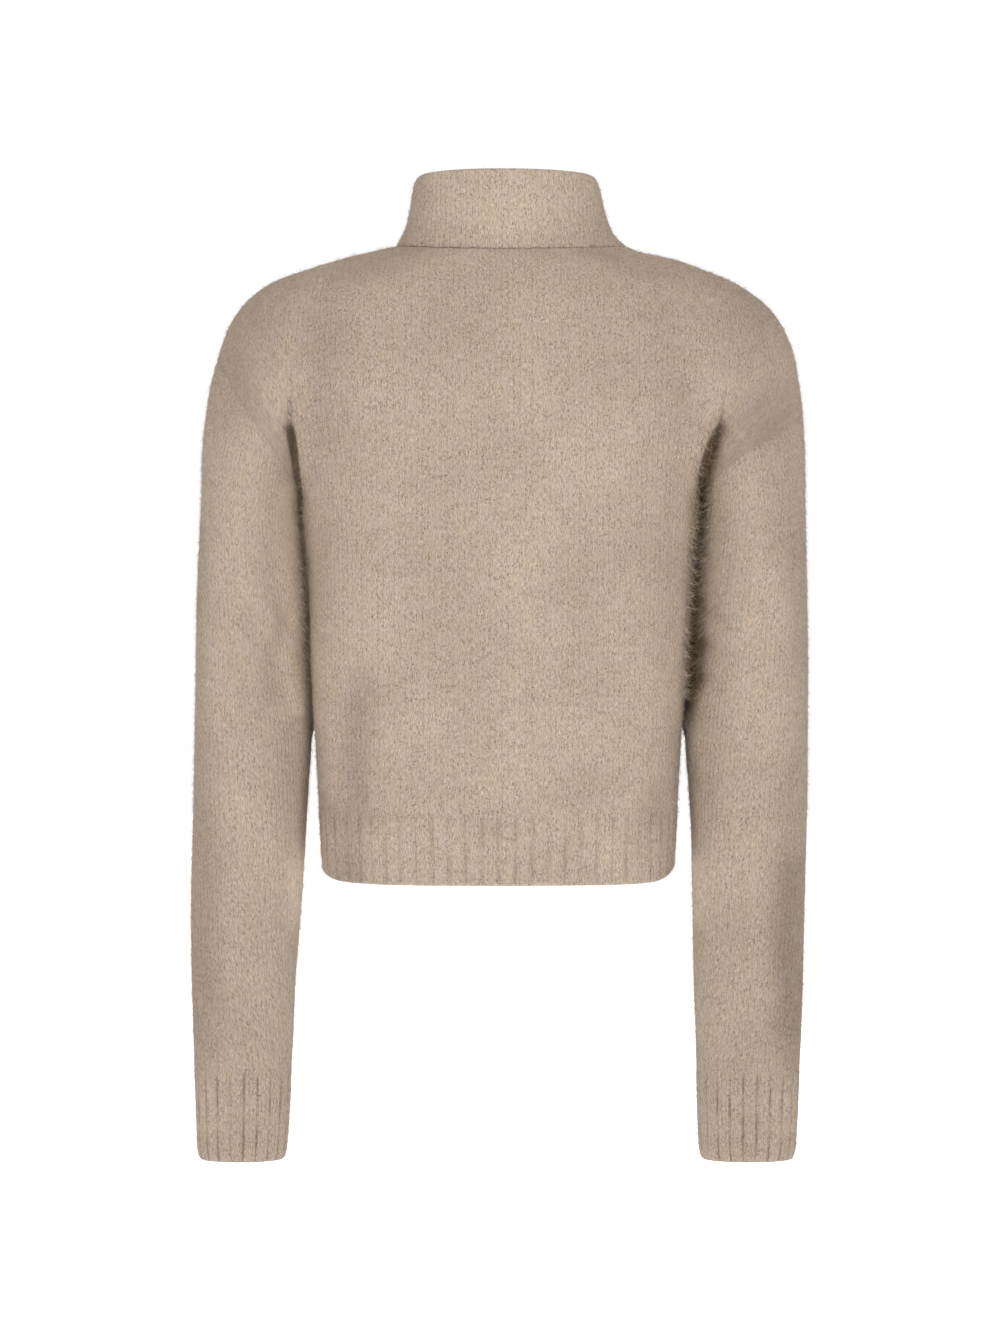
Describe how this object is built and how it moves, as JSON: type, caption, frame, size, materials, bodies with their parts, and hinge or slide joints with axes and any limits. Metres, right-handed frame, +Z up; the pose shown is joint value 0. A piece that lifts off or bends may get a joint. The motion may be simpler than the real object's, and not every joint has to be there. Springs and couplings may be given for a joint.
{
  "type": "zip-up cardigan",
  "caption": "Cropped zip-up cardigan in brushed oatmeal knit with a funnel collar, dropped shoulders and ribbed hem and cuffs, hollow as worn.",
  "frame": {"origin": "middle of the neck opening, level with the place where the collar meets the shoulders", "axes": "+Z up, the front with the zip faces -Y, the wearer's left is +X"},
  "size_m": [0.4946, 0.232, 0.7881],
  "materials": {
    "brushed_knit": "brushed, fuzzy",
    "brushed_rib": "ribbed, fuzzy",
    "woven_tape": "woven polyester",
    "nickel_plate": "satin nickel plate"
  },
  "bodies": {
    "cardigan": {"back": "brushed_knit", "front_left": "brushed_knit", "front_right": "brushed_knit", "sleeve_left": "brushed_knit", "sleeve_right": "brushed_knit", "cuff_left": "brushed_rib", "cuff_right": "brushed_rib", "hem_back": "brushed_rib", "hem_front_left": "brushed_rib", "hem_front_right": "brushed_rib", "collar": "brushed_knit", "zip_tape_left": "woven_tape", "zip_tape_right": "woven_tape", "zip_slider": "nickel_plate", "zip_box": "nickel_plate"},
    "pull_tab": {"zip_pull_tab": "nickel_plate"}
  },
  "joints": [
    {"name": "pull_tab_hinge", "type": "hinge", "parent": "cardigan", "child": "pull_tab", "pos_m": [0, -0.06857, -0.01077], "axis": [-1, 0, 0], "range_deg": [0, 165]}
  ]
}
